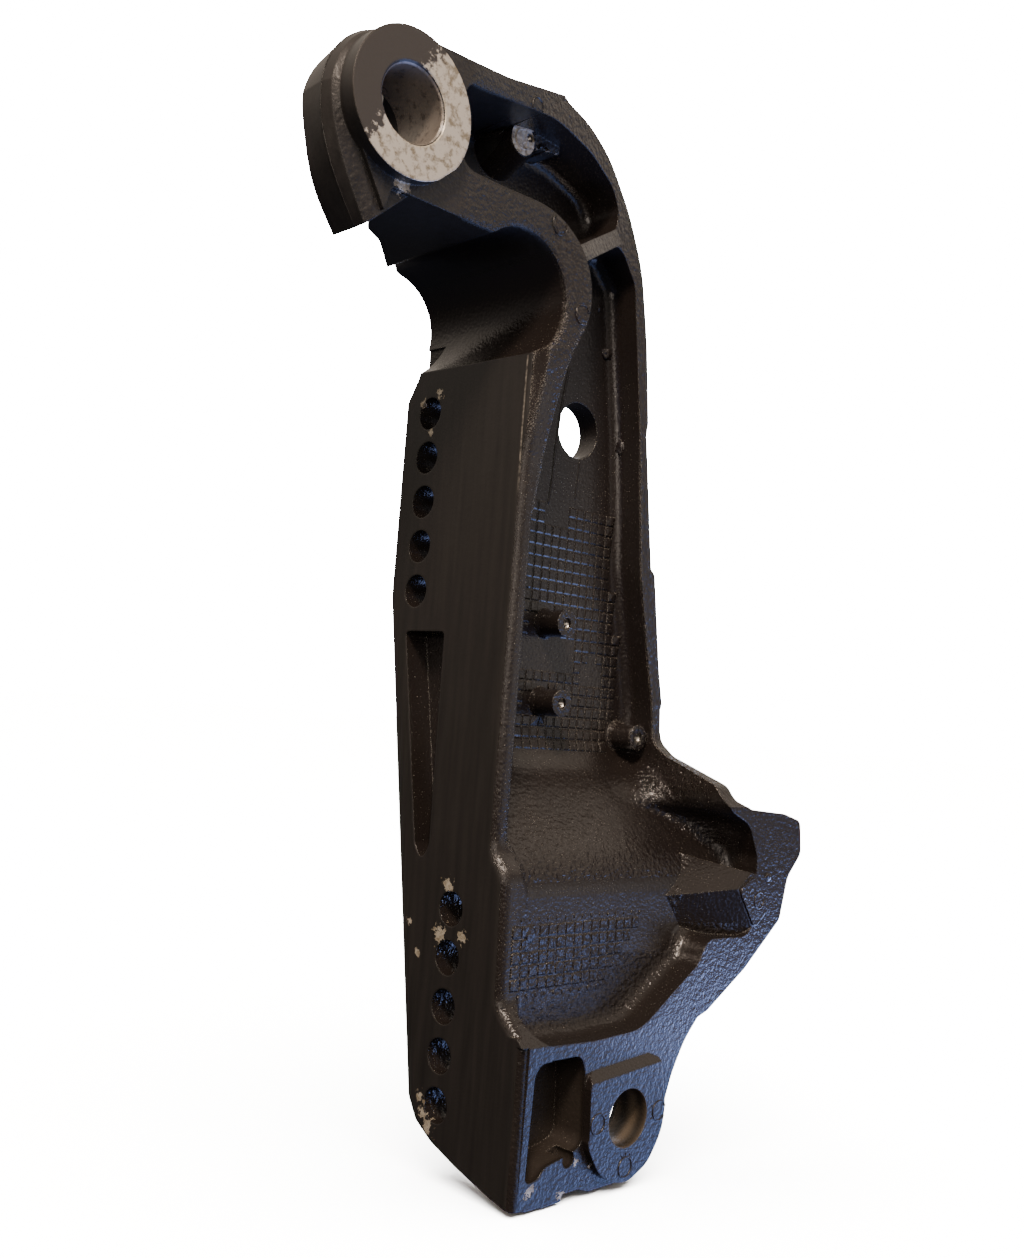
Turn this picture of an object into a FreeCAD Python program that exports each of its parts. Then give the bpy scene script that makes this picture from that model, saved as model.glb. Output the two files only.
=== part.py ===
# Clamp bracket of an outboard motor, starboard half: one die casting in aluminium.
# Millimetres. X runs aft from the transom face, Y to the outboard side, Z up.
# The origin is on the transom face, at the middle hole of the upper bolt row.

import FreeCAD
import Part
import math
import os

V = FreeCAD.Vector

# Main sizes: top of the arm, aft tip of the lower half, head and lower edge
top_z = 169.4
aft_x = 175.6
head_x = -77.0
flange_low_z = -241.5
far = 400.0

# Bolt rows in the transom flange
bolt_r = 6.9
bolt_pitch = 19.05
bolt_count = 5
row_drop = 203.2
row_shift = 38.1
flange_t = 16.0

# Flange seen from ahead
flange_out_y = 15.6
flange_top_z = 55.6
flange_low_y = -21.8
rim_y = -60.0
rim_top_z = 12.0
rim_in_r = 1.2
front_r = 4.0
bevel_y = -57.4
bevel_depth = 3.5

# Blind slot in the transom face
slot_top_z = -55.1
slot_bottom_z = -146.3
slot_out_y = 4.4
slot_in_y = -20.6
slot_depth = 11.5

# Web, ramp and the level of the lower half
web_y = -18.75
web_t = 6.0
low_web_y = -67.3
low_web_fall = 1.8
face_y = -83.0
ramp_top_z = -103.0
ramp_foot_z = -147.0
ledge_z = -209.6
wall_t = 7.0
rear_wall_t = 4.8
rear_rim_y = -34.0
floor_r = 6.0
rib_t = 7.0

# Hook over the transom, and arm
hook_x = -13.6
hook_z = 75.6
hook_r = 24.5
hook_taper = 1.6
arm_under_z = 93.2
arm_in_y = -66.1
hook_strip_t = 15.0
under_r = 4.0

# Head with the tilt tube bore
head_z = top_z - 46.2
head_out_y = -45.0
parting_y = -57.5
shoulder_y = -61.8
side_y = -64.0
boss_r = 26.7
boss_y = -71.0
tilt_r = 13.6
tilt_chamfer = 1.2

# Plain hole through the web, with a pad behind it
web_hole_x = 72.0
web_hole_z = 43.8
web_hole_r = 12.8
web_hole_pad_r = 18.5
web_hole_wall = 11.0

# Tapped bosses on the web
tapped_boss_r = 5.9
tapped_boss_y = -32.5
tapped_foot = 1.0
tapped_r = 2.5
tapped_boss_places = [(60.0, -45.6, 12.0), (60.5, -80.4, 13.0), (113.0, -93.2, 14.0)]

# Lower ear with the pin bore
pin_x = 59.4
pin_z = flange_low_z - 0.7
pin_r = 11.4
pad_y = -86.5
ear_back_y = -70.5
ear_back_r = 21.0

# Wedge lug on the lower web
lug_x = 137.6
lug_z = -148.8
lug_pad_t = 0.8

# Grease port in the arm's pocket
port_x = 8.5
port_z = top_z - 17.2
port_r = 6.9
port_y = -35.5
port_foot = 6.5
port_hole_r = 1.8
port_hole_depth = 14.0


def outline_edges(points, place):
    # Closed outline; a third number rounds that corner with a tangent arc.
    corners = [(p[0], p[1], p[2] if len(p) > 2 else 0.0) for p in points]
    n = len(corners)
    ends = []
    for i, (u, v, r) in enumerate(corners):
        before = corners[i - 1]
        after = corners[(i + 1) % n]
        here = V(u, v, 0)
        a = V(before[0], before[1], 0) - here
        b = V(after[0], after[1], 0) - here
        angle = a.getAngle(b)
        if r <= 0 or angle > math.pi - 0.01:
            ends.append((here, None, here))
            continue
        reach = min(r / math.tan(angle / 2), 0.49 * a.Length, 0.49 * b.Length)
        r = reach * math.tan(angle / 2)
        a.normalize()
        b.normalize()
        middle = a + b
        middle.normalize()
        top = here + middle * (r / math.sin(angle / 2) - r)
        ends.append((here + a * reach, top, here + b * reach))
    edges = []
    for i, (start, top, end) in enumerate(ends):
        if top is not None:
            edges.append(Part.Arc(place(start), place(top), place(end)).toShape())
        following = ends[(i + 1) % n][0]
        if (following - end).Length > 1e-4:
            edges.append(Part.makeLine(place(end), place(following)))
    return edges


def prism(points, axis, low, high):
    # Outline in the two other axes, in X, Y, Z order, pulled from low to high.
    place = {
        "x": lambda p: V(low, p.x, p.y),
        "y": lambda p: V(p.x, low, p.y),
        "z": lambda p: V(p.x, p.y, low),
    }[axis]
    pull = {"x": V(high - low, 0, 0), "y": V(0, high - low, 0), "z": V(0, 0, high - low)}[axis]
    wire = Part.Wire(Part.__sortEdges__(outline_edges(points, place)))
    return Part.Face(wire).extrude(pull)


def moved(points, x, z):
    # Outline given from a centre, set at that centre.
    return [(x + p[0], z + p[1]) + tuple(p[2:]) for p in points]


def round_bar(x, z, r, low, high):
    # Bar along Y.
    return Part.makeCylinder(r, high - low, V(x, low, z), V(0, 1, 0))


def round_taper(x, z, r_low, r_high, low, high):
    # Tapered bar along Y.
    return Part.makeCone(r_low, r_high, high - low, V(x, low, z), V(0, 1, 0))


def half_space(point, normal):
    # Everything on the side that the normal points to.
    block = Part.makeBox(2 * far, 2 * far, far, V(-far, -far, 0))
    block.Placement = FreeCAD.Placement(point, FreeCAD.Rotation(V(0, 0, 1), normal))
    return block


def plane_through(a, b, c, outside):
    # Half space beyond three points, on the side of the point outside.
    normal = (b - a).cross(c - a)
    if normal.dot(outside - a) < 0:
        normal = normal * -1
    return half_space(a, normal)


def round_floor(tool, radius, open_y):
    # Rounds a pocket's floor against its walls; open_y is the level of its open side.
    picked = []
    for edge in tool.Edges:
        kinds = []
        for face in tool.ancestorsOfType(edge, Part.Face):
            a, b, c, d = face.ParameterRange
            normal = face.normalAt((a + b) / 2, (c + d) / 2)
            if face.BoundBox.YMax < open_y + 0.01:
                kinds.append("open")
            elif abs(normal.y) < 0.02:
                kinds.append("wall")
            else:
                kinds.append("floor")
        if sorted(kinds) == ["floor", "wall"]:
            picked.append(edge)
    return tool.makeFillet(radius, picked)


def edge_corner(x, y, r, side, low, high):
    # What a rounding takes off an upright edge; side is -1 at the transom face, 1 at the back of the rim.
    corner = Part.makeBox(r + 1, r + 1, high - low, V(x - 1 if side < 0 else x - r, y - 1, low))
    return corner.cut(Part.makeCylinder(r, high - low, V(x - side * r, y + r, low), V(0, 0, 1)))


def low_edge():
    # Lower outboard edge of the flange seen from ahead, from the lean to the bottom.
    y = flange_low_y
    z = flange_low_z
    return [(y, z, 5), (y - 5.4, z - 8.1, 6), (y - 15.2, z - 13.9, 20), (y - 30.2, z - 19.1, 60),
            (y - 46.2, z - 23.5), (face_y - 1.0, z - 27.9)]


def rim_low_z():
    # Level at which the ramp comes up to the rim.
    return ramp_top_z - (web_y - rim_y) * (ramp_top_z - ramp_foot_z) / (web_y - low_web_y)


def front_profile():
    # Inboard edge of the flange seen from ahead: rim, lower web, and the slope up to the block.
    return [(rim_y, rim_low_z(), 20), (low_web_y, ramp_foot_z, 24),
            (low_web_y - low_web_fall, ledge_z + 12.6, 9), (face_y - 1.0, ledge_z + 0.4)]


def rim_rise():
    # Above the rim the front wall grows to the level of the band.
    return [(rim_y, rim_top_z, 60), (arm_in_y, rim_top_z + 42.0, 60)]


def flange_plate():
    # The plate that is bolted to the transom, as far up as the hook.
    outline = [(flange_out_y, flange_top_z - 11.6), (flange_out_y - 5.6, flange_top_z - 2.1)]
    outline += [(flange_out_y - 9.6, flange_top_z + 8.0), (rim_y, flange_top_z + 8.0)]
    outline += front_profile() + [(face_y, flange_low_z - 26.9)]
    outline += low_edge()[4::-1] + [(flange_out_y, -40.0, 30)]
    return prism(outline, "x", 0, flange_t)


def beside_flange():
    # Everything ahead of the flange's back that lies outside its outline.
    around = prism([(-far, -far), (far, -far), (far, far), (-far, far)], "x", -5, flange_t)
    inside = [(flange_out_y, far), (flange_out_y, -40.0, 30)] + low_edge()
    inside += [(-far, flange_low_z - 60.0), (-far, far)]
    outside = around.cut(prism(inside, "x", -6, flange_t + 1))
    below_hook = prism([(-10.0, -far), (flange_t + 14.0, -far), (flange_t + 14.0, 40.0), (-10.0, 40.0)],
                       "y", -far, far)
    lip = prism([(flange_out_y + 2, flange_top_z - 14.6), (flange_out_y + 2, flange_top_z + 14.4),
                 (flange_out_y - 11.6, flange_top_z + 14.4), (flange_out_y - 6.0, flange_top_z - 1.1)],
                "x", -5, flange_t - 6)
    return outside.common(below_hook).fuse(lip)


def rear_edge():
    # Outside of the rear wall, from the top of the arm down, seen from the inboard side.
    return [(57.0, top_z - 9.4, 50), (79.0, top_z - 27.6, 45), (90.5, top_z - 46.9, 60), (97.8, 88.0, 200),
            (102.7, 52.0), (102.0, 46.5), (112.0, -14.5, 2), (115.0, -17.2, 2), (125.8, -77.0, 1)]


def upper_outline():
    # Arm, top wall and rear wall of the upper half.
    outline = [(0, -100.0), (0, arm_under_z), (head_x + 3.0, arm_under_z), (head_x + 3.0, head_z + 20.0)]
    outline += moved([(11.0, 28.4, 6), (31.0, 29.4, 20), (52.5, 34.1, 60)], head_x, head_z)
    outline += [(15.8, top_z, 1.5), (19.8, top_z - 1.4, 2), (37.5, top_z - 2.6, 60)]
    outline += rear_edge()
    outline += [(124.8, -79.5, 1), (125.2, -100.0)]
    return outline


def band_edge():
    # Edge between the thick band round the hook and the pockets, from the head down to the rim.
    return moved([(-36.4, 36.4), (-16.4, 36.2, 30), (15.6, 36.9, 40), (35.1, 24.4, 30), (40.4, 3.4, 40),
                  (27.6, -22.6, 40), (24.1, -50.6, 40)], hook_x, hook_z) + [(wall_t, -6.0, 60)]


def rim_fall():
    # Side view of the rear wall's rim, dropping inboard from the upper half to the block.
    return [(rear_rim_y + 60.0, -60.0), (rear_rim_y, -60.0), (rear_rim_y - 1.6, -94.0, 8),
            (rear_rim_y - 10.0, -100.4, 12), (face_y + 7.5, -111.2, 8), (face_y + 0.6, -119.6),
            (face_y - 60.0, -119.6)]


def arm_body():
    body = prism(upper_outline(), "y", arm_in_y, web_y + web_t)
    # below the band the front wall is lower, and the band's face runs down to it
    drop = prism([(rim_y, -120.0)] + rim_rise() + [(arm_in_y, 80.0), (arm_in_y - 30.0, 80.0),
                                                  (arm_in_y - 30.0, -120.0)], "x", -20, 40)
    body = body.cut(drop)
    # a broad bevel between the machined face and the band
    beyond = 2 * arm_in_y - bevel_y
    bevel = prism([(-20.0, bevel_y), (0, bevel_y), (2 * bevel_depth, beyond), (-20.0, beyond)], "z", -20, 62)
    body = body.cut(bevel)
    # top and rear rims fall away from the head to the rear wall
    start = head_x + 31.0
    outer = [(start, far), (start, 115.0)] + band_edge()[1:] + [(wall_t, -104.0), (far, -104.0), (far, far)]
    over_rims = prism(outer, "y", -120, rear_rim_y)
    slope = prism([(start, arm_in_y), (84.0, rear_rim_y, 60), (far, rear_rim_y), (far, -130.0), (start, -130.0)],
                  "z", -130, far)
    steep = prism(rim_fall() + [(face_y - 60.0, far), (rear_rim_y + 60.0, far)], "x", -60, far)
    return body.cut(over_rims.common(slope).common(steep))


def hook_strip():
    # Flange carried on over the hook and under the arm, on the outboard side of the web.
    outer_r = hook_r + hook_strip_t
    outline = [(0, 20.0), (0, arm_under_z), (head_x, arm_under_z), (head_x, arm_under_z + hook_strip_t)]
    outline += [(hook_x, hook_z + outer_r, 10), (hook_x + outer_r - 5.4, hook_z + outer_r, 34)]
    outline += [(hook_x + outer_r - 5.4, hook_z - hook_strip_t, 30), (flange_t, 36.0, 10), (flange_t, 20.0)]
    return prism(outline, "y", web_y, flange_out_y)


def arm_plan():
    # Plan of the arm: narrow at the head, spreading to the full flange at the hook.
    return prism([(-far, head_out_y), (head_x + 6.0, head_out_y, 6), (head_x + 15.4, head_out_y + 17.0, 8),
                  (head_x + 27.0, head_out_y + 24.0, 20), (hook_x - 13.8, 2.2, 8), (hook_x - 9.9, 3.2, 6),
                  (hook_x + 1.2, flange_out_y, 8), (far, flange_out_y), (far, -far), (-far, -far)],
                 "z", -far, far)


def lower_outline():
    # Block, textured flange and ear under the ramp.
    z = flange_low_z
    outline = [(0, -130.0), (0, z - 25.1, 1), (9.5, z - 28.3, 4), (27.2, z - 27.7, 0.6), (27.6, z - 25.1, 0.6),
               (36.5, z - 24.9, 2), (42.5, z - 26.9, 3)]
    outline += moved([(2.6, -25.8, 20), (17.1, -20.8, 14), (25.2, -8.3, 20), (27.0, 2.2, 30), (30.6, 12.7, 40)],
                     pin_x, pin_z)
    outline += [(97.0, -217.0, 40), (105.0, -208.6, 3), (111.5, -206.4, 3), (136.6, -190.8),
                (aft_x - 14.1, -170.5, 6), (aft_x - 9.6, -151.5, 12), (aft_x, -141.0, 5), (aft_x - 2.0, -126.0, 4),
                (aft_x - 15.6, -122.6, 10), (135.0, -121.0, 3), (125.4, -117.0, 3), (125.4, -90.0),
                (wall_t, -90.0), (wall_t, -130.0)]
    return outline


def lower_body():
    block = prism(lower_outline(), "y", face_y, web_y + web_t)
    above = prism(rim_fall() + [(face_y - 60.0, 20.0), (rear_rim_y + 60.0, 20.0)], "x", -60, far)
    return block.cut(above)


def outboard_space():
    # Room behind the flange on the outboard side, under the web, ramp and lower web.
    back = web_y + web_t
    low_back = low_web_y + web_t
    profile = [(80.0, 90.0), (back, 90.0), (back, ramp_top_z - 3.0, 20)]
    profile += [(low_back, ramp_foot_z - 5.0, 20), (low_back, -far), (80.0, -far)]
    return prism(profile, "x", flange_t, far)


def main_pocket():
    # From the diagonal rib down over the ramp to the lower web.
    rear = [(x - rear_wall_t, z, 90) for x, z in ((102.3, 46.0), (110.0, -18.0), (124.4, -80.0))]
    outline = moved([(25.6, -50.6, 40), (28.6, -21.6, 30), (40.4, 3.4, 20), (37.1, 22.9, 8)], hook_x, hook_z)
    outline += [(72.0, top_z - 42.4, 9), (91.3 - rear_wall_t, top_z - 56.4, 12)]
    outline += rear
    outline += [(124.3 - rear_wall_t, -103.0, 12), (114.5, -119.5, 14), (134.0, -127.5, 12)]
    outline += [(141.2, -142.0, 9), (141.4, ledge_z + 32.6, 9), (108.5, ledge_z + 33.6, 12)]
    outline += [(103.5, ledge_z + 23.6, 12), (68.0, ledge_z + 0.1, 24), (40.0, ledge_z - 1.2, 30)]
    outline += [(wall_t, ledge_z, 11), (wall_t, -6.0, 60)]
    floor = [(-far, far), (web_y, far), (web_y, ramp_top_z, 30), (low_web_y, ramp_foot_z, 24),
             (low_web_y - low_web_fall, ledge_z), (low_web_y - low_web_fall, -far), (-far, -far)]
    pocket = prism(outline, "y", -far, web_y + 20).common(prism(floor, "x", -60, far))
    return round_floor(pocket, floor_r, -far)


def arm_pocket():
    # Pocket in the arm between the head and the diagonal rib, its floor rising to the head.
    left = head_x + 27.0
    outline = moved([(-16.4, 36.2, 30), (15.6, 36.9, 30), (28.2, 30.0, 12), (34.2, 28.0, 2)], hook_x, hook_z)
    outline += [(70.5, top_z - 35.2, 9.5), (62.0, top_z - 20.4, 20), (40.0, top_z - 13.4, 40)]
    outline += [(12.0, top_z - 11.9, 60), (left + 10.0, top_z - 24.0, 20)]
    outline += [(left, top_z - 25.8, 8), (left, 112.0, 8)]
    rise = head_out_y - 3.4
    floor = [(left - 40.0, rise - 20.0), (left + 11.4, web_y, 20), (far, web_y), (far, -far)]
    floor += [(left - 40.0, -far)]
    pocket = prism(outline, "y", -far, web_y + 20).common(prism(floor, "z", 60, far))
    return round_floor(pocket, floor_r, -far)


def front_opening():
    # The front wall's rim is lower than the band, and the lower web is open to the front.
    profile = [(-far, 0.0), (rim_y, 0.0)] + front_profile() + [(-far, ledge_z + 0.4)]
    rim = prism(profile, "x", -20, wall_t + 12.0)
    block_front = edge_corner(0, face_y, front_r - 0.5, -1, flange_low_z - 50.0, ledge_z + 0.6)
    return rim.fuse(block_front)


def rim_rounding():
    # What the rounded edges take off the front wall: its outer edge, and its inner edge above the ramp.
    wall = [(0.0, 75.0), (arm_in_y, 75.0)] + rim_rise()[::-1] + front_profile()[:3]
    wall += [(face_y + 2.6, ledge_z + 3.5), (0.0, ledge_z + 3.5)]
    sharp = prism(wall, "x", 0, 20.0)
    picked = []
    for edge in sharp.Edges:
        box = edge.BoundBox
        if box.XMax < 0.01 and box.YMax < rim_y + 0.01:
            picked.append(edge)
    taken = sharp.cut(sharp.makeFillet(front_r, picked))
    inner = edge_corner(wall_t, rim_y, rim_in_r, 1, rim_low_z() + 4.0, -8.0)
    return [taken, inner]


def rib():
    # Diagonal rib between the two pockets, its top falling from the band to the rear rim.
    base = V(hook_x + 32.6, 0, hook_z + 24.9)
    tip = V(78.0, 0, top_z - 34.9)
    along = tip - base
    side = V(-along.z, 0, along.x)
    side.normalize()
    corners = [base - along * 0.15, base, tip, tip + along * 0.08]
    heights = [arm_in_y + 1.0, arm_in_y + 1.0, rear_rim_y + 1.0, rear_rim_y + 1.0]
    low = web_y + 2.0
    points = [V(p.x, h, p.z) for p, h in zip(corners, heights)]
    points += [V(corners[-1].x, low, corners[-1].z), V(corners[0].x, low, corners[0].z)]
    points = [p - side * (rib_t / 2) for p in points]
    wire = Part.makePolygon(points + [points[0]])
    return Part.Face(wire).extrude(side * rib_t)


def lug():
    # Wedge that stands on the lower web and ends level with the block, with a thin pad on its end.
    top = V(lug_x, face_y, lug_z)
    left = V(lug_x - 9.8, face_y, lug_z - 6.8)
    low = V(lug_x + 4.0, face_y, lug_z - 25.8)
    foot_left = V(lug_x - 41.6, low_web_y, lug_z - 10.8)
    foot_top = V(lug_x - 33.0, rim_y + 0.5, lug_z + 8.6)
    inside = V(lug_x + 2.4, low_web_y, lug_z - 16.2)
    block = Part.makeBox(52.0, low_web_y + 14.5 - face_y, 42.0, V(lug_x - 44.6, face_y, lug_z - 30.2))
    for a, b, c in ((left, top, foot_left), (left, low, foot_left)):
        block = block.cut(plane_through(a, b, c, a + (a - inside)))
    block = block.cut(plane_through(top, foot_top, top + V(0, 5, 0), top + V(-17.6, 0, 28.8)))
    end = [(-9.2, -7.2, 2.5), (2.0, -1.4, 2.5), (13.6, -16.8, 2.5), (3.8, -24.6, 2.5)]
    pad = prism(moved(end, lug_x, lug_z), "y", face_y - lug_pad_t, face_y + 1.0)
    return block.fuse(pad)


def head_section(y, reach, points):
    # Round front of the head from top to nose as an arc, then the nose down to the chin.
    # The arc passes through three points, at these distances from the bore's centre.
    centre = V(head_x, y, head_z)
    arc = [centre + V(-r * math.sin(math.radians(a)), 0, r * math.cos(math.radians(a)))
           for a, r in zip((0, 45, 90), reach)]
    nose = [arc[2]] + [V(head_x + a, y, head_z + b) for a, b in points]
    curve = Part.BSplineCurve()
    curve.interpolate(nose, InitialTangent=V(0, 0, -1), FinalTangent=nose[-1] - nose[-2])
    back_top = V(head_x + 8.0, y, arc[0].z)
    back_low = V(head_x + 8.0, y, nose[-1].z)
    lines = [Part.makeLine(nose[-1], back_low), Part.makeLine(back_low, back_top), Part.makeLine(back_top, arc[0])]
    return Part.Wire([Part.Arc(arc[0], arc[1], arc[2]).toShape(), curve.toShape()] + lines)


def head():
    # Round head with a nose in front and a chin below, drafted both ways from the parting line.
    levels = [
        (head_out_y, (27.2, 26.5, 29.2), [(-27.2, -13.4), (-21.9, -29.8), (-8.0, -49.7)]),
        (parting_y, (28.6, 28.8, 30.2), [(-28.4, -14.4), (-21.9, -29.2), (-8.0, -49.7)]),
        (shoulder_y, (27.6, 27.8, 28.8), [(-26.0, -14.4), (-19.4, -29.2), (-7.0, -49.7)]),
        (side_y, (26.6, 26.6, 26.6), [(-20.6, -14.4), (-13.0, -29.2), (-4.0, -49.7)]),
    ]
    sections = [head_section(*level) for level in levels]
    body = round_bar(head_x, head_z, boss_r, boss_y, parting_y)
    for low, high in zip(sections, sections[1:]):
        body = body.fuse(Part.makeLoft([low, high], True, True))
    under = arm_under_z + 0.2 - head_z
    slab = prism(moved([(0, 10), (-10, -14), (-17.0, -20.4), (-5.6, -38.8), (-5.0, -37.4), (-3.0, under - 1.0),
                        (-2.0, under), (17.0, under), (17.0, 10)], head_x, head_z), "y", arm_in_y, side_y + 2)
    # the chin's underside rises aft to the underside of the arm
    chin = half_space(V(head_x - 11.0, 0, head_z - 45.2), V(0.9, 0, -1.0))
    return body.fuse(slab).cut(chin)


def below_arm():
    # Room for the transom's top: under the arm, and the hook's round relief with a softened edge.
    hook = round_taper(hook_x, hook_z, hook_r, hook_r - hook_taper, -90, 30)
    under = Part.makeBox(hook_x - head_x - 6.0, 120.0, 60.0, V(head_x + 6.0, -90.0, arm_under_z - 60.0))
    room = hook.fuse(under).removeSplitter()
    picked = []
    for edge in room.Edges:
        box = edge.BoundBox
        along_y = box.YLength > 100.0
        if along_y and abs(box.ZMax - arm_under_z) < 0.1 and head_x + 10.0 < box.XMin and box.XMax < hook_x - 4.0:
            picked.append(edge)
    return room.makeFillet(under_r, picked)


def long_slot():
    outline = [(slot_out_y, slot_top_z, 2), (slot_out_y - 1.8, slot_top_z - 8.9, 10),
               (slot_out_y - 17.0, slot_bottom_z + 4.0, 5), (slot_out_y - 21.9, slot_bottom_z - 3.0, 3),
               (slot_in_y - 1.2, slot_bottom_z + 4.0, 5), (slot_in_y, slot_top_z, 2)]
    return prism(outline, "x", -1, slot_depth)


def lower_pocket():
    # Pocket beside the ear, as deep as the lower web, with a lobed lower end.
    top = ledge_z - 5.9
    low = pin_z - 12.3
    outline = [(wall_t + 0.5, top, 6), (33.5, top, 6), (36.0, top - 6.5, 10), (37.5, low + 4.5, 6),
               (29.0, low + 2.0, 3), (17.5, low, 5), (13.0, low - 4.0, 4), (wall_t - 0.5, low - 5.0, 4)]
    pocket = prism(outline, "y", face_y - 10, low_web_y)
    return pocket.fuse(round_bar(29.8, low + 0.5, 3.2, face_y - 10, face_y + 9))


def ear_pad():
    # Slightly proud pad round the pin bore, with a sloping upper side.
    outline = moved([(-21.8, 19.8, 5), (12.6, 23.2, 3), (18.6, 21.2), (23.2, 2.2, 20), (22.0, -8.3, 20),
                     (14.1, -20.0, 14), (1.6, -25.6, 14), (-13.4, -22.0, 20), (-22.8, -7.8, 16), (-23.8, 10.2, 16)],
                    pin_x, pin_z)
    pad = prism(outline, "y", pad_y, face_y + 2)
    a = V(pin_x - 21.4, pad_y, pin_z + 16.2)
    b = V(pin_x + 18.6, pad_y, pin_z + 19.6)
    c = V(pin_x - 21.4, face_y, pin_z + 19.8)
    return pad.cut(plane_through(a, b, c, a + V(0, 0, 40)))


def tapped_boss(x, z):
    # Round boss on the web, wider at its foot.
    foot = Part.makeCone(tapped_boss_r + tapped_foot, tapped_boss_r, 2 * tapped_foot, V(x, web_y - 0.2, z),
                         V(0, -1, 0))
    return round_bar(x, z, tapped_boss_r, tapped_boss_y, web_y + 1.0).fuse(foot)


def grease_port():
    # Cone-sided boss with a spot face, and a short machined ledge beside it.
    boss = Part.makeCone(port_r + port_foot, port_r, web_y + 1 - port_y, V(port_x, web_y + 1, port_z), V(0, -1, 0))
    ledge = prism(moved([(5.0, -1.5), (21.5, 1.3), (21.5, 6.5), (5.0, 4.5)], port_x, port_z), "y", port_y, web_y + 1)
    return boss.fuse(ledge).common(arm_body())


def bolt_holes():
    holes = []
    for i in range(bolt_count):
        rise = (i - (bolt_count - 1) / 2) * bolt_pitch
        for y, z in ((0.0, rise), (-row_shift, rise - row_drop)):
            holes.append(Part.makeCylinder(bolt_r, 3 * flange_t, V(-flange_t, y, z), V(1, 0, 0)))
    return holes


def bores():
    holes = [round_bar(x, z, tapped_r, tapped_boss_y - 1, tapped_boss_y + depth)
             for x, z, depth in tapped_boss_places]
    holes.append(round_bar(port_x + 4.0, port_z + 2.0, port_hole_r, port_y - 1, port_y + port_hole_depth))
    holes.append(round_bar(web_hole_x, web_hole_z, web_hole_r, web_y - 40, web_y + 40))
    holes.append(round_bar(head_x, head_z, tilt_r, boss_y - 10, head_out_y + 20))
    # outboard of the head the arm is cleared round the tube
    holes.append(round_bar(head_x, head_z, tilt_r + tilt_chamfer, head_out_y, head_out_y + 60))
    mouth = tilt_chamfer + 1.0
    holes.append(round_taper(head_x, head_z, tilt_r + mouth, tilt_r, boss_y - 1.0, boss_y + tilt_chamfer))
    holes.append(round_bar(pin_x, pin_z, pin_r, pad_y - 20, low_web_y + 40))
    holes.append(round_bar(pin_x, pin_z, ear_back_r, ear_back_y, low_web_y + 40))
    return holes


def casting():
    solid = arm_body().fuse(hook_strip()).fuse(lower_body())
    solid = solid.cut(outboard_space()).common(arm_plan())
    solid = solid.fuse(flange_plate())
    for hollow in [main_pocket(), front_opening()] + rim_rounding() + [arm_pocket(), beside_flange()]:
        solid = solid.cut(hollow)
    solid = solid.fuse(rib()).fuse(head())
    solid = solid.cut(below_arm())
    web_pad = round_bar(web_hole_x, web_hole_z, web_hole_pad_r, web_y + 1, web_y + web_hole_wall)
    raised = [lug(), web_pad, ear_pad(), grease_port()]
    raised += [tapped_boss(x, z) for x, z, depth in tapped_boss_places]
    for piece in raised:
        solid = solid.fuse(piece)
    for hollow in [long_slot(), lower_pocket()] + bolt_holes() + bores():
        solid = solid.cut(hollow)
    return solid


os.makedirs("parts", exist_ok=True)
bracket = casting()
print("clamp_bracket", bracket.isValid(), round(bracket.Volume), len(bracket.Solids), len(bracket.Faces))
bracket.exportStep("parts/clamp_bracket.step")
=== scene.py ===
# Outboard clamp bracket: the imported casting, its cast details and its paint.
# Metres. X aft from the transom face, Y to the outboard side, Z up.
import bpy
import bmesh
import math
import random
from mathutils import Matrix, Vector, noise
from mathutils.bvhtree import BVHTree


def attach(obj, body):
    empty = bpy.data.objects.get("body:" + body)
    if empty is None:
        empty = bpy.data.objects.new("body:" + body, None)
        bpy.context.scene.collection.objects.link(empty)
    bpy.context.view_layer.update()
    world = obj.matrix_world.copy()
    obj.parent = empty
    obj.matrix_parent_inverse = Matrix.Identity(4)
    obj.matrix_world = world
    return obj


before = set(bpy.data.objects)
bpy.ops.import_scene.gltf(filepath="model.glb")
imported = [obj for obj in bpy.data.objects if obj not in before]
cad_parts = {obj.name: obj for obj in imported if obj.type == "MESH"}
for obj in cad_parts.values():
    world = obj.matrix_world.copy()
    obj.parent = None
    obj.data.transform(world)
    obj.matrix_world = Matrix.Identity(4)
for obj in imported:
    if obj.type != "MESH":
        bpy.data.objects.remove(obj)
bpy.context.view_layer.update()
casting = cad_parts["clamp_bracket"]
mm = 0.001
print("frame loaded")


def colour(hexCode):
    # sRGB hex code to the linear colour that the nodes take
    parts = [int(hexCode[i:i + 2], 16) / 255 for i in (1, 3, 5)]
    return tuple(p / 12.92 if p <= 0.04045 else ((p + 0.055) / 1.055) ** 2.4 for p in parts) + (1.0,)


def addNode(tree, kind, inputs=None, **settings):
    # an input, by name or number, takes a value, a socket, or a node for its first output
    node = tree.nodes.new(kind)
    for name, value in settings.items():
        setattr(node, name, value)
    for name, value in (inputs or {}).items():
        if isinstance(value, bpy.types.Node):
            value = value.outputs[0]
        if isinstance(value, bpy.types.NodeSocket):
            tree.links.new(value, node.inputs[name])
        else:
            node.inputs[name].default_value = value
    return node


def newMaterial(name):
    material = bpy.data.materials.new(name)
    material.use_nodes = True
    material.node_tree.nodes.clear()
    return material, material.node_tree


# the photo's camera, solved from the bracket's bolt holes and plane faces
cameraFacts = {
    "place": (-343.7, -418.3, -86.2),  # mm
    "yaw": 43.85,          # degrees from +Y towards +X
    "pitch": 3.73,
    "roll": 4.46,
    "focal": 1281.3,       # pixels of the 1024 x 1258 frame
    "frameHeight": 1258,
    "sensor": 24.0,        # mm, its height
    "clip": (0.01, 50.0),  # m
}


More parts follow.
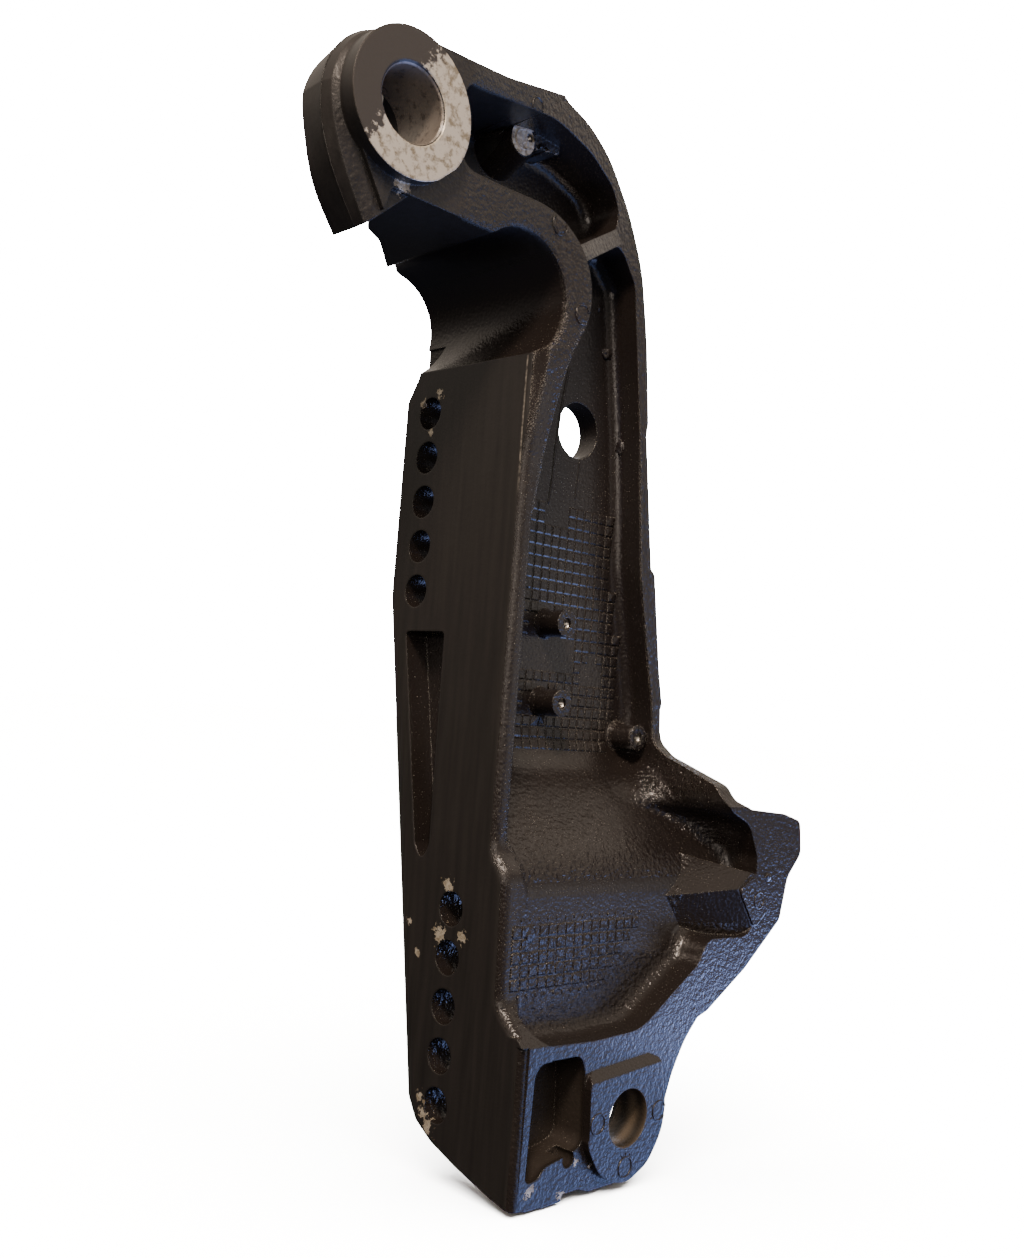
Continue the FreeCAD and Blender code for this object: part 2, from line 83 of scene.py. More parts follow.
def makeCamera():
    facts = cameraFacts
    yaw, pitch, roll = (math.radians(facts[k]) for k in ("yaw", "pitch", "roll"))
    ahead = Vector((math.sin(yaw) * math.cos(pitch), math.cos(yaw) * math.cos(pitch), math.sin(pitch)))
    level = Vector((math.cos(yaw), -math.sin(yaw), 0))
    upright = level.cross(ahead)
    right = level * math.cos(roll) + upright * math.sin(roll)
    up = upright * math.cos(roll) - level * math.sin(roll)
    data = bpy.data.cameras.new("camera")
    data.sensor_fit = "VERTICAL"
    data.sensor_height = facts["sensor"]
    data.lens = facts["sensor"] * facts["focal"] / facts["frameHeight"]
    data.clip_start, data.clip_end = facts["clip"]
    camera = bpy.data.objects.new("camera", data)
    bpy.context.scene.collection.objects.link(camera)
    turn = Matrix((right, up, -ahead)).transposed().to_4x4()
    camera.matrix_world = Matrix.Translation(Vector(facts["place"]) * mm) @ turn
    bpy.context.scene.camera = camera


makeCamera()
print("camera made")

# gloss black paint over die-cast aluminium: the grains of the casting show through it as sparkle
paintFacts = {
    "black": "#221e1d",
    "brownBlack": "#2b2521",
    "machinedBlack": "#141211",     # the transom face, milled before it was painted
    "smear": "#332f2c",
    "overspray": "#3c3731",         # thin paint on the head's round face
    "dust": "#332c26",              # dirt that stays in the lower pocket
    "boreBrown": "#8c847b",         # greased wall of the tilt bore, and its spots
    "greaseSpot": "#5a524b",
    "pinTan": "#5e5243",            # worn wall of the pin bore, and its grooves
    "pinGroove": "#2e2820",
    "glintSpeck": "#a09a8e",             # painted glints: pale specks on the tips of the grains and along the edges, partly paint rubbed thin there
    "bareDark": "#94876f",          # oxidised aluminium where the paint is gone
    "bareLight": "#d6ccb8",
    "streakDraw": 0.07,             # smears on the milled face are drawn out along Z
    "grooveTurn": 1.4,              # mm to a radian of the waves of the pin bore's turned grooves
    "wornWay": (0.83, 0.0, -0.56),  # on the head's face, from the painted side to the worn one
    "wornFrom": -137.2,             # mm along that way
    "wornRagged": 22.0,             # mm
    "wornEdge": (9.5, 12.5),        # mm
    "chipRagged": 3.2,              # in chip radii, and so are its edge's limits
    "chipEdge": (2.06, 1.98),
    "edgeRadius": 0.9,              # mm, edges that the mould leaves soft
    "fineRadius": 0.22,             # mm, the same on the small cast details
    "fuller": 2.9,                  # radii that the rim gains, because it is nearly full round
    "armFuller": 1.4,               # and the edges of the hook and the arm, as a share of that
    "smoothDepth": 0.03,            # mm, height of the coarse skin's wrinkles where it is smooth
    "coarseDepth": 1.3,             # mm, and where it is coarse
    "milledDepth": 0.014,
    "paintDepth": 0.06,             # lost where it is chipped
    "waveDepth": 0.06,
    "spotEdge": (0.54, 0.70),       # limits of the grease spots in the noise
    "bareStops": ((0.36, "bareDark"), (0.52, "bareLight")),
    "gloss": (0.17, 0.30),          # roughness of the paint, and of the milled face
    "satin": (0.36, 0.52),
    "bareMetallic": 0.35,
    "boreMetallic": 0.4,
    "facing": (-0.45, -0.8),        # Y of the normal, where the skin starts to be coarse and is so
    "rimSmooth": 0.8,               # share of the coarse skin that the rim lacks
    "rounded": (0.985, 0.90),       # cosine between the plain and the rounded normal, off an edge and on it
    "rubbedAndGlint": 0.17,                 # how much an edge, and how much the slow tone, adds to the painted glint specks
    "rubbedAndGlintPatch": 0.10,
    "rubbedAndGlintEdge": (0.785, 0.825),
    "lineBroken": (0.40, 0.56, 0.1, 0.7),  # limits in the noise, and shares of the painted cream highlight line at both
}

# noises in the paint: size in mm, detail and roughness
noiseFacts = {
    "grain": (1.25, 1.5, 0.6),   # fine grains of the web
    "wrinkle": (2.0, 2.0, 0.5),  # coarse skin of the rims and the band
    "ripple": (6.0, 1.0, 0.5),   # slow waves in the paint
    "patch": (30.0, 5.0, 0.6),   # slow change of tone
    "flake": (3.2, 4.0, 0.65),   # ragged edges of chips and of worn paint
    "glintSpeck": (0.42, 1.0, 0.5),   # tips of the grains that catch the light, where glints are painted
    "streak": (3.5, 5.0, 0.62),  # smears on the milled face
}

# fades across the casting: axis, where each starts and ends in mm, and its value at both
fadeFacts = {
    "upHigh": ("Z", 50.0, 62.0, 0.0, 1.0),  # hook, arm and head
    "nearFace": ("Y", -56.0, -62.0, 0.0, 1.0),  # near the band's face, which is turned inboard
    "offHead": ("X", -50.0, -44.0, 0.0, 1.0),
    "headCalm": ("X", -50.0, -44.0, 0.35, 1.0),  # the head's skin is less coarse
    "rear": ("X", 95.0, 100.0, 0.0, 0.6),  # rear edge of the casting
    "offArm": ("Z", 85.0, 60.0, 0.1, 1.0),  # few specks on the arm and the head
    "offBlock": ("Y", -82.0, -76.0, 0.1, 1.0),  # and few on the block
    "lineFade": ("Z", -2.0, 20.0, 0.0, 1.0),  # the painted cream highlight line fades downwards
    "inPocket": ("Y", -82.5, -80.5, 0.0, 1.0),  # behind the block's face
    "proud": ("Y", -26.0, -34.0, 0.0, 1.0),  # what stands proud of the web
    "blockCalm": ("Y", -80.0, -76.0, 0.22, 1.0),  # the block's skin is less coarse
    "grainDepth": ("Y", -80.0, -82.5, 0.25, 0.27),  # mm, a little deeper on the block
}

# round patches: centre, and the radii where each starts and is full, in mm
patchFacts = {
    "dusty": ((23.0, -70.0, -240.0), 30.0, 18.0, "LINEAR"),  # in the lower pocket
    "scoop": ((128.0, -50.0, -120.0), 32.0, 20.0, "SMOOTHSTEP"),  # in the rear wall, right of the ramp
}

# boxes: limits along X, Y and Z in mm, where None leaves an axis open
boxFacts = {
    "milled": ((-300.0, 0.25), None, None),  # the milled transom face lies at X 0
    "rim": ((-2.0, 9.0), (-71.0, -55.0), (-197.0, 47.0)),  # of the front wall
    "lug": ((104.0, 150.0), (-82.6, -67.4), (-171.0, -131.0)),
    "lineBox": ((-300.0, 1.0), (-57.8, -57.0), (-1.0, 55.0)),  # the milled face's upper inboard edge
    "recess": (None, (-68.3, -66.7), None),  # level of the lower web
    "headFront": (None, (-300.0, -70.7), None),
    "portLevel": (None, (-37.0, -34.8), None),
    "aboveBlock": (None, None, (-100.0, 300.0)),
}

# where the paint is chipped: centre and radius, mm
chips = (
    ((0, 4.6, 42.6), 4.2), ((0, -5.5, 46.2), 4.0), ((0, -1.5, 29.8), 3.0),
    ((0, -35.9, -156.1), 6.0), ((0, -45.9, -175.1), 5.0), ((0, -33.0, -175.8), 7.0),
    ((0, -13.9, -174.0), 2.8), ((0, -19.8, -185.4), 3.2),
    ((0, -28.7, -239.8), 4.0), ((0, -34.8, -250.5), 6.0), ((0, -31.0, -246.0), 5.0),
    ((-90.5, -61.0, 75.6), 4.0), ((-75.8, -66.1, 95.4), 5.0),
    ((20.3, -83.0, -249.5), 3.2), ((33.7, -83.0, -256.0), 2.6), ((9.5, -83.0, -262.5), 4.0),
    ((27.0, -83.0, -266.8), 3.6), ((42.6, -83.0, -258.4), 2.4),
    ((17.4, -35.5, 150.8), 2.8), ((22.5, -35.5, 151.2), 2.8), ((28.5, -35.5, 152.6), 2.4),
)

# round features of the casting: X and Z of the axis, mm
pinFacts = {"centre": (59.4, -242.2)}
headFacts = {"centre": (-77.0, 123.2)}
portFacts = {
    "centre": (8.5, 152.2),
    "faceY": -35.5,
    "hole": (12.5, 154.2),  # its hole is off its centre
    "holeDepth": 9.0,
    "holeR": 1.8,
    "crestR": 1.5,
    "pitch": 0.75,
}

# round places about those axes: radius in mm, a little more than the feature's own
roundFacts = {
    "headRound": (headFacts, 28.2),
    "boreWall": (headFacts, 14.1),
    "pinWall": (pinFacts, 11.7),
    "portRound": (portFacts, 6.6),
}

# places that are the product of others
productFacts = {
    "headFace": ("headRound", "headFront"),
    "portFace": ("portRound", "portLevel"),
    "dirt": ("dusty", "inPocket"),
    "arm": ("upHigh", "nearFace", "offHead"),
    "rearEdge": ("rear", "aboveBlock"),
    "creamHighlightLine": ("lineBox", "lineFade"),
}


def castingZones(tree, place, axes):
    # masks by name, from the tables of fades, patches, boxes, round places and products
    zones = {}
    for name, (axis, start, end, low, high) in fadeFacts.items():
        zones[name] = addNode(tree, "ShaderNodeMapRange", {
            "Value": axes.outputs[axis], "From Min": start * mm, "From Max": end * mm,
            "To Min": low, "To Max": high})
    for name, (centre, start, full, curve) in patchFacts.items():
        middle = tuple(c * mm for c in centre)
        far = addNode(tree, "ShaderNodeVectorMath", {0: place, 1: middle}, operation="DISTANCE")
        zones[name] = addNode(tree, "ShaderNodeMapRange", {
            "Value": far.outputs["Value"], "From Min": start * mm, "From Max": full * mm},
            interpolation_type=curve)
    for name, box in boxFacts.items():
        inside = 1.0
        for axis, (low, high) in [(a, limits) for a, limits in zip("XYZ", box) if limits]:
            middle, half = (low + high) / 2, (high - low) / 2
            near = addNode(tree, "ShaderNodeMath", {0: axes.outputs[axis], 1: middle * mm, 2: half * mm},
                           operation="COMPARE")
            inside = addNode(tree, "ShaderNodeMath", {0: inside, 1: near}, operation="MULTIPLY")
        zones[name] = inside
    for name, (facts, radius) in roundFacts.items():
        x, z = facts["centre"]
        foot = addNode(tree, "ShaderNodeCombineXYZ", {0: x * mm, 1: axes.outputs["Y"], 2: z * mm})
        far = addNode(tree, "ShaderNodeVectorMath", {0: place, 1: foot}, operation="DISTANCE")
        zones[name] = addNode(tree, "ShaderNodeMath", {0: far.outputs["Value"], 1: radius * mm},
                              operation="LESS_THAN")
    for name, parts in productFacts.items():
        zones[name] = zones[parts[0]]
        for part in parts[1:]:
            zones[name] = addNode(tree, "ShaderNodeMath", {0: zones[name], 1: zones[part]},
                                  operation="MULTIPLY")
    # no dirt on the milled face
    zones["dirt"] = addNode(tree, "ShaderNodeMath", {0: zones["dirt"], 1: zones["milled"]},
                            operation="SUBTRACT", use_clamp=True)
    return zones


def addBareMetal(tree, place, noises, zones):
    # where the paint is gone: worn off, chipped, or cut away at the grease port
    facts = paintFacts
    # it stays on the upper front of the head's face, and is worn off below and behind
    lean = addNode(tree, "ShaderNodeVectorMath", {0: place, 1: facts["wornWay"]}, operation="DOT_PRODUCT")
    past = addNode(tree, "ShaderNodeMath", {0: lean.outputs["Value"], 1: facts["wornFrom"] * mm},
                   operation="SUBTRACT")
    ragged = addNode(tree, "ShaderNodeMath", {0: noises["flake"], 1: facts["wornRagged"] * mm, 2: past},
                     operation="MULTIPLY_ADD")
    start, full = facts["wornEdge"]
    worn = addNode(tree, "ShaderNodeMapRange", {
        "Value": ragged, "From Min": start * mm, "From Max": full * mm}, interpolation_type="SMOOTHSTEP")
    worn = addNode(tree, "ShaderNodeMath", {0: worn, 1: zones["headFace"]}, operation="MULTIPLY")

    # chips: distance from the nearest chip's centre in its radii, broken up by noise
    nearest = 100.0
    for centre, radius in chips:
        middle = tuple(c * mm for c in centre)
        far = addNode(tree, "ShaderNodeVectorMath", {0: place, 1: middle}, operation="DISTANCE")
        share = addNode(tree, "ShaderNodeMath", {0: far.outputs["Value"], 1: 1 / (radius * mm)},
                        operation="MULTIPLY")
        nearest = addNode(tree, "ShaderNodeMath", {0: nearest, 1: share}, operation="MINIMUM")
    ragged = addNode(tree, "ShaderNodeMath", {0: noises["flake"], 1: facts["chipRagged"], 2: nearest},
                     operation="MULTIPLY_ADD")
    start, full = facts["chipEdge"]
    chipped = addNode(tree, "ShaderNodeMapRange", {"Value": ragged, "From Min": start, "From Max": full},
                      interpolation_type="SMOOTHSTEP")

    bare = addNode(tree, "ShaderNodeMath", {0: worn, 1: chipped}, operation="MAXIMUM")
    zones["bare"] = addNode(tree, "ShaderNodeMath", {0: bare, 1: zones["portFace"]}, operation="MAXIMUM")


def softNormal(tree, zones, edgeRadius):
    # the normal with rounded edges, fuller on the rim, the hook, the arm and the rear edge
    facts = paintFacts
    fuller = addNode(tree, "ShaderNodeMath", {0: zones["arm"], 1: facts["armFuller"], 2: zones["rim"]},
                     operation="MULTIPLY_ADD")
    fuller = addNode(tree, "ShaderNodeMath", {0: fuller, 1: zones["rearEdge"]}, operation="MAXIMUM")
    radius = addNode(tree, "ShaderNodeMath", {
        0: fuller, 1: facts["fuller"] * edgeRadius * mm, 2: edgeRadius * mm}, operation="MULTIPLY_ADD")
    return addNode(tree, "ShaderNodeBevel", {"Radius": radius}, samples=4)


def addRubbedPaintAndGlints(tree, noises, zones, soft, plain):
    # at the edges, where the rounded normal leaves the plain one, pale specks are painted: painted glints,
    # partly paint rubbed through
    facts = paintFacts
    agree = addNode(tree, "ShaderNodeVectorMath", {0: soft, 1: plain}, operation="DOT_PRODUCT")
    off, on = facts["rounded"]
    edge = addNode(tree, "ShaderNodeMapRange", {
        "Value": agree.outputs["Value"], "From Min": off, "From Max": on})
    zones["edge"] = edge
    tips = addNode(tree, "ShaderNodeMath", {0: edge, 1: facts["rubbedAndGlint"], 2: noises["glintSpeck"]},
                   operation="MULTIPLY_ADD")
    tips = addNode(tree, "ShaderNodeMath", {0: noises["patch"], 1: facts["rubbedAndGlintPatch"], 2: tips},
                   operation="MULTIPLY_ADD")
    start, full = facts["rubbedAndGlintEdge"]
    glintFleck = addNode(tree, "ShaderNodeMapRange", {"Value": tips, "From Min": start, "From Max": full},
                    interpolation_type="SMOOTHSTEP")
    glintFleck = addNode(tree, "ShaderNodeMath", {0: glintFleck, 1: zones["milled"]}, operation="SUBTRACT",
                    use_clamp=True)
    for part in ("offArm", "offBlock"):
        glintFleck = addNode(tree, "ShaderNodeMath", {0: glintFleck, 1: zones[part]}, operation="MULTIPLY")

    # along the milled face's upper inboard edge a broken cream line is painted: partly paint rubbed off,
    # partly a painted highlight on the edge
    start, full, low, high = facts["lineBroken"]
    broken = addNode(tree, "ShaderNodeMapRange", {
        "Value": noises["flake"], "From Min": start, "From Max": full, "To Min": low, "To Max": high})
    line = addNode(tree, "ShaderNodeMath", {0: zones["creamHighlightLine"], 1: broken}, operation="MULTIPLY")
    zones["glintFleck"] = addNode(tree, "ShaderNodeMath", {0: glintFleck, 1: line}, operation="MAXIMUM")


def castingColour(tree, place, noises, zones):
    # a mix node has its numbers at inputs 2 and 3, and its colours at inputs 6 and 7 and output 2
    facts = paintFacts
    # a wave texture turns by 20 radians in a unit at scale 1
    groove = addNode(tree, "ShaderNodeTexWave", {
        "Vector": place, "Scale": 1 / (facts["grooveTurn"] * mm) / 20, "Distortion": 0.6, "Detail": 2.0},
        bands_direction="Y")
    start, full = facts["spotEdge"]
    spotted = addNode(tree, "ShaderNodeMapRange", {
        "Value": noises["flake"], "From Min": start, "From Max": full})
    metal = addNode(tree, "ShaderNodeValToRGB", {0: noises["flake"]})
    for element, (position, tone) in zip(metal.color_ramp.elements, facts["bareStops"]):
        element.position = position
        element.color = colour(facts[tone])

    # tones that vary, each between two colours
    tones = {}
    for name, amount, one, two in (
            ("paint", noises["patch"], "black", "brownBlack"),
            ("milled", noises["streak"], "machinedBlack", "smear"),
            ("boreWall", spotted, "boreBrown", "greaseSpot"),
            ("pinWall", groove, "pinTan", "pinGroove")):
        tone = addNode(tree, "ShaderNodeMix", {0: amount, 6: colour(facts[one]), 7: colour(facts[two])},
                       data_type="RGBA")
        tones[name] = tone.outputs[2]

    # each layer goes over those before it
    base = tones["paint"]
    for name, tone in (
            ("milled", tones["milled"]),
            ("headFace", colour(facts["overspray"])),
            ("dirt", colour(facts["dust"])),
            ("boreWall", tones["boreWall"]),
            ("pinWall", tones["pinWall"]),
            # pale specks: painted glints, partly paint rubbed through
            ("glintFleck", colour(facts["glintSpeck"])),
            ("bare", metal)):
        layer = addNode(tree, "ShaderNodeMix", {0: zones[name], 6: base, 7: tone}, data_type="RGBA")
        base = layer.outputs[2]
    return base


def castingRoughness(tree, noises, zones):
    # gloss paint, satin on the milled face, dull where it is dusty or bare
    glossy, satin = (
        addNode(tree, "ShaderNodeMapRange", {"Value": noises[kind], "To Min": low, "To Max": high})
        for kind, (low, high) in (("patch", paintFacts["gloss"]), ("streak", paintFacts["satin"])))
    layers = (("milled", satin), ("headFace", 0.5), ("dirt", 0.6), ("pinWall", 0.45), ("bare", 0.46))
    rough = glossy
    for name, value in layers:
        rough = addNode(tree, "ShaderNodeMix", {0: zones[name], 2: rough, 3: value})
    return rough


def castingHeight(tree, noises, zones, plain):
    # height of the skin in mm: coarse on faces turned inboard that stand proud, fine elsewhere
    facts = paintFacts
    facing = addNode(tree, "ShaderNodeSeparateXYZ", {0: plain})
    start, full = facts["facing"]
    coarse = addNode(tree, "ShaderNodeMapRange", {
        "Value": facing.outputs["Y"], "From Min": start, "From Max": full})
    for part in ("proud", "blockCalm"):
        coarse = addNode(tree, "ShaderNodeMath", {0: coarse, 1: zones[part]}, operation="MULTIPLY")
    # the scoop has the coarse skin too
    coarse = addNode(tree, "ShaderNodeMath", {0: coarse, 1: zones["scoop"]}, operation="MAXIMUM")
    # the wedge lug is smooth, and so nearly is the rim
    smooth = addNode(tree, "ShaderNodeMath", {0: zones["rim"], 1: facts["rimSmooth"]}, operation="MULTIPLY")
    smooth = addNode(tree, "ShaderNodeMath", {0: smooth, 1: zones["lug"]}, operation="MAXIMUM")
    for part in (smooth, zones["recess"], zones["headFace"]):
        coarse = addNode(tree, "ShaderNodeMath", {0: coarse, 1: part}, operation="SUBTRACT", use_clamp=True)
    coarse = addNode(tree, "ShaderNodeMath", {0: coarse, 1: zones["headCalm"]}, operation="MULTIPLY")
    # the rounded edges of the hook and the arm are crumpled
    crumpled = addNode(tree, "ShaderNodeMath", {0: zones["edge"], 1: zones["arm"]}, operation="MULTIPLY")
    crumpled = addNode(tree, "ShaderNodeMath", {0: crumpled, 1: zones["milled"]}, operation="SUBTRACT",
                       use_clamp=True)
    coarse = addNode(tree, "ShaderNodeMath", {0: coarse, 1: crumpled}, operation="MAXIMUM")
    deep = addNode(tree, "ShaderNodeMapRange", {
        "Value": coarse, "To Min": facts["smoothDepth"], "To Max": facts["coarseDepth"]})
    skin = addNode(tree, "ShaderNodeMath", {0: noises["wrinkle"], 1: deep}, operation="MULTIPLY")
    fine = addNode(tree, "ShaderNodeMix", {
        0: zones["milled"], 2: zones["grainDepth"], 3: facts["milledDepth"]})
    skin = addNode(tree, "ShaderNodeMath", {0: noises["grain"], 1: fine, 2: skin}, operation="MULTIPLY_ADD")
    return addNode(tree, "ShaderNodeMath", {0: zones["bare"], 1: -facts["paintDepth"], 2: skin},
                   operation="MULTIPLY_ADD")


def castingPaint(name, edgeRadius):
    facts = paintFacts
    material, tree = newMaterial(name)
    place = addNode(tree, "ShaderNodeTexCoord").outputs["Object"]
    plain = addNode(tree, "ShaderNodeNewGeometry").outputs["Normal"]
    axes = addNode(tree, "ShaderNodeSeparateXYZ", {0: place})
    drawn = addNode(tree, "ShaderNodeMapping", {"Vector": place, "Scale": (1.0, 1.0, facts["streakDraw"])})
    noises = {}
    for kind, (size, detail, roughness) in noiseFacts.items():
        noises[kind] = addNode(tree, "ShaderNodeTexNoise", {
            "Vector": drawn if kind == "streak" else place, "Scale": 1 / (size * mm), "Detail": detail,
            "Roughness": roughness})

    zones = castingZones(tree, place, axes)
    addBareMetal(tree, place, noises, zones)
    soft = softNormal(tree, zones, edgeRadius)
    addRubbedPaintAndGlints(tree, noises, zones, soft, plain)

    height = castingHeight(tree, noises, zones, plain)
    waves = addNode(tree, "ShaderNodeBump", {
        "Height": noises["ripple"], "Distance": facts["waveDepth"] * mm, "Normal": soft})
    bump = addNode(tree, "ShaderNodeBump", {"Height": height, "Distance": 1.0 * mm, "Normal": waves})
    metallic = addNode(tree, "ShaderNodeMath", {0: zones["bare"], 1: facts["bareMetallic"]},
                       operation="MULTIPLY")
    metallic = addNode(tree, "ShaderNodeMath", {
        0: zones["boreWall"], 1: facts["boreMetallic"], 2: metallic}, operation="MULTIPLY_ADD")
    shader = addNode(tree, "ShaderNodeBsdfPrincipled", {
        "Base Color": castingColour(tree, place, noises, zones),
        "Roughness": castingRoughness(tree, noises, zones), "Metallic": metallic, "Normal": bump,
        "IOR": 1.5, "Coat Weight": 0.15, "Coat Roughness": 0.12})
    addNode(tree, "ShaderNodeOutputMaterial", {"Surface": shader})
    return material


def threadMetal():
    # machined aluminium: bright, with the fine rings that the tap leaves
    material, tree = newMaterial("tappedAluminium")
    place = addNode(tree, "ShaderNodeTexCoord").outputs["Object"]
    rings = addNode(tree, "ShaderNodeTexNoise", {"Vector": place, "Scale": 1 / (0.8 * mm), "Detail": 3.0})
    tone = addNode(tree, "ShaderNodeMix", {0: rings, 6: colour("#6f6a62"), 7: colour("#cfcbc2")},
                   data_type="RGBA")
    rough = addNode(tree, "ShaderNodeMapRange", {"Value": rings, "To Min": 0.22, "To Max": 0.45})
    bump = addNode(tree, "ShaderNodeBump", {"Height": rings, "Distance": 0.03 * mm})
    shader = addNode(tree, "ShaderNodeBsdfPrincipled", {
        "Base Color": tone.outputs[2], "Roughness": rough, "Metallic": 1.0, "Normal": bump})
    addNode(tree, "ShaderNodeOutputMaterial", {"Surface": shader})
    return material


paint = castingPaint("glossPaintOverDieCastAluminium", paintFacts["edgeRadius"])
finePaint = castingPaint("glossPaintOnFineCastDetail", paintFacts["fineRadius"])
casting.data.materials.clear()
casting.data.materials.append(paint)
print("paint made")

# the surface that the details sit on
surface = BVHTree.FromPolygons([v.co.copy() for v in casting.data.vertices],
                               [tuple(p.vertices) for p in casting.data.polygons])
inboardOf = -200.0                   # Y, mm: clear of the casting on its inboard side


def onFace(x, z):
    # point of the inboard side at X, Z in mm, with the face's normal
    hit, normal, _, _ = surface.ray_cast(Vector((x, inboardOf, z)) * mm, Vector((0, 1, 0)))
    return hit, normal


def addPiece(name, shape, material, smooth=None):
    # smooth is the angle in degrees above which an edge stays sharp
    bmesh.ops.recalc_face_normals(shape, faces=shape.faces)
    mesh = bpy.data.meshes.new(name)
    shape.to_mesh(mesh)
    shape.free()
    if smooth is not None:
        mesh.shade_smooth()
        mesh.set_sharp_from_angle(angle=math.radians(smooth))
    piece = bpy.data.objects.new(name, mesh)
    bpy.context.scene.collection.objects.link(piece)
    mesh.materials.append(material)
    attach(piece, "root")


# raised lines on the casting
beadFacts = {
    # its section, in shares of its width and height
    "across": ((-0.5, -0.25), (-0.32, 0.7), (0.0, 1.0), (0.32, 0.7), (0.5, -0.25)),
    "endWidth": 0.25,  # shares at an open end, which sinks into the surface
    "endHeight": -0.25,
    "step": 1.2,       # mm along the line
}


def bead(shape, points, normals, width, height, closed=False):
    # raised line along points on a surface, rounded across and tapered at its ends
    facts = beadFacts
    across = facts["across"]
    rows = []
    count = len(points)
    for i, (point, normal) in enumerate(zip(points, normals)):
        before = points[i - 1] if closed or i > 0 else point
        after = points[(i + 1) % count] if closed or i < count - 1 else point
        side = (after - before).cross(normal).normalized()
        atEnd = not closed and i in (0, count - 1)
        scale = facts["endWidth"] if atEnd else 1.0
        row = []
        for a, b in across:
            aside = side * (a * width * mm * scale)
            lift = normal * ((facts["endHeight"] if atEnd else b) * height * mm)
            row.append(shape.verts.new(point + aside + lift))
        rows.append(row)
    for i in range(count if closed else count - 1):
        one, two = rows[i], rows[(i + 1) % count]
        for k in range(len(across) - 1):
            shape.faces.new((one[k], one[k + 1], two[k + 1], two[k]))
        shape.faces.new((one[-1], one[0], two[0], two[-1]))
    if not closed:
        shape.faces.new(rows[0])
        shape.faces.new(rows[-1][::-1])


def beadOnFace(shape, route, width, height, closed=False):
    # the same, along a route of X, Z points laid on the inboard side
    ends = route + route[:1] if closed else route
    places = []
    for (xa, za), (xb, zb) in zip(ends, ends[1:]):
        pieces = max(1, round(math.hypot(xb - xa, zb - za) / beadFacts["step"]))
        for k in range(pieces):
            places.append((xa + (xb - xa) * k / pieces, za + (zb - za) * k / pieces))
    if not closed:
        places.append(ends[-1])
    found = [onFace(x, z) for x, z in places]
    found = [(hit, normal) for hit, normal in found if hit]
    bead(shape, [hit for hit, _ in found], [normal for _, normal in found], width, height, closed)


# cast grids that stiffen the web: rows of small flat-topped blocks, all in mm
gridFacts = {
    "pitch": 5.0,
    "foot": 4.72,                   # block at its foot
    "top": 3.4,                     # block at its top
    "height": 0.36,
    "unevenness": 0.07,             # from the worn mould
    "cornerDrift": 0.012,           # the same at the corners, as a share
    "sink": 0.02,                   # foot below the surface
    "upperFirst": (10.0, 8.6),      # X, Z of the upper grid's first block corner
    "upperRows": 22,
    "upperColumns": 20,
    "upperRight": ((12.0, 98.0), (0.0, 104.0), (-29.0, 110.0), (-76.0, 114.5), (-110.0, 115.0)),  # Z, X
    "upperClear": 2.0,              # from a block's middle to that edge
    "upperY": -18.75,               # the web
    "rampZ": -96.0,                 # where the ramp leaves it
    "rampSlope": 0.35,
    "upperReach": 2.4,              # how far the surface under a block may be from that level
    "creaseX": (55.0, 71.0),        # the crease of the web runs through the first two rows
    "plainZ": (-68.0, -51.0),       # plain patch between the bosses
    "plainX": 80.0,
    "plainSpot": (91.0, -66.0),     # and a small one beside it
    "plainSpotR": 7.5,
    "lowerFirst": (9.9, -167.1),
    "lowerRows": 5,
    "lowerColumns": (-1, 16),
    "lowerRight": 84.9,             # X at the first row's top
    "lowerDraw": 0.95,              # how the right edge draws in, row by row
    "lowerY": -68.2,
    "lowerReach": 1.6,
    "padX": (13.0, 18.0),           # the oval pad stands in the first two rows
    "ribs": 15,                     # short ribs above the first row and below the last
    "ribBead": (0.9, 0.45),         # width and height
    "ribsAbove": (84.0, 0.4, 3.0),  # X that they end at, and where each starts and ends from the grid
    "ribsBelow": (58.0, -0.6, -3.6),
}


def tile(shape, x, z, level, reach, rng):
    # one block with its corners laid on the web; none where a boss or a wall is in the way
    facts = gridFacts
    half = facts["foot"] / 2
    low = []
    for dx, dz in ((-1, -1), (1, -1), (1, 1), (-1, 1)):
        hit, normal = onFace(x + dx * half, z + dz * half)
        if hit is None or abs(hit.y / mm - level) > reach:
            return False
        low.append((hit, normal))
    middle, normal = onFace(x, z)
    if abs(middle.y / mm - level) > reach:
        return False
    share = facts["top"] / facts["foot"]
    rise = facts["height"] + rng.uniform(-1, 1) * facts["unevenness"]
    drift = facts["cornerDrift"]
    base = [shape.verts.new(p - n * (facts["sink"] * mm)) for p, n in low]
    lid = []
    for p, n in low:
        inward = middle.lerp(p, share + rng.uniform(-drift, drift))
        lid.append(shape.verts.new(inward + n * (rise * mm)))
    shape.faces.new(lid)
    shape.faces.new(base[::-1])
    for k in range(4):
        shape.faces.new((base[k], base[(k + 1) % 4], lid[(k + 1) % 4], lid[k]))
    return True


def rightEdge(z):
    # X where the upper grid ends at the rear wall's foot
    rows = gridFacts["upperRight"]
    for (za, xa), (zb, xb) in zip(rows, rows[1:]):
        if zb <= z <= za:
            return xa + (xb - xa) * (za - z) / (za - zb)
    return rows[0][1] if z > rows[0][0] else rows[-1][1]


def hasBlock(row, x, z):
    # whether the upper grid has a block there
    facts = gridFacts
    left, right = facts["creaseX"]
    low, high = facts["plainZ"]
    spotX, spotZ = facts["plainSpot"]
    onCrease = row < 2 and left < x < right
    onPatch = low < z < high and x < facts["plainX"]
    onSpot = math.hypot(x - spotX, z - spotZ) < facts["plainSpotR"]
    pastEdge = x > rightEdge(z) - facts["upperClear"]
    return not (onCrease or onPatch or onSpot or pastEdge)


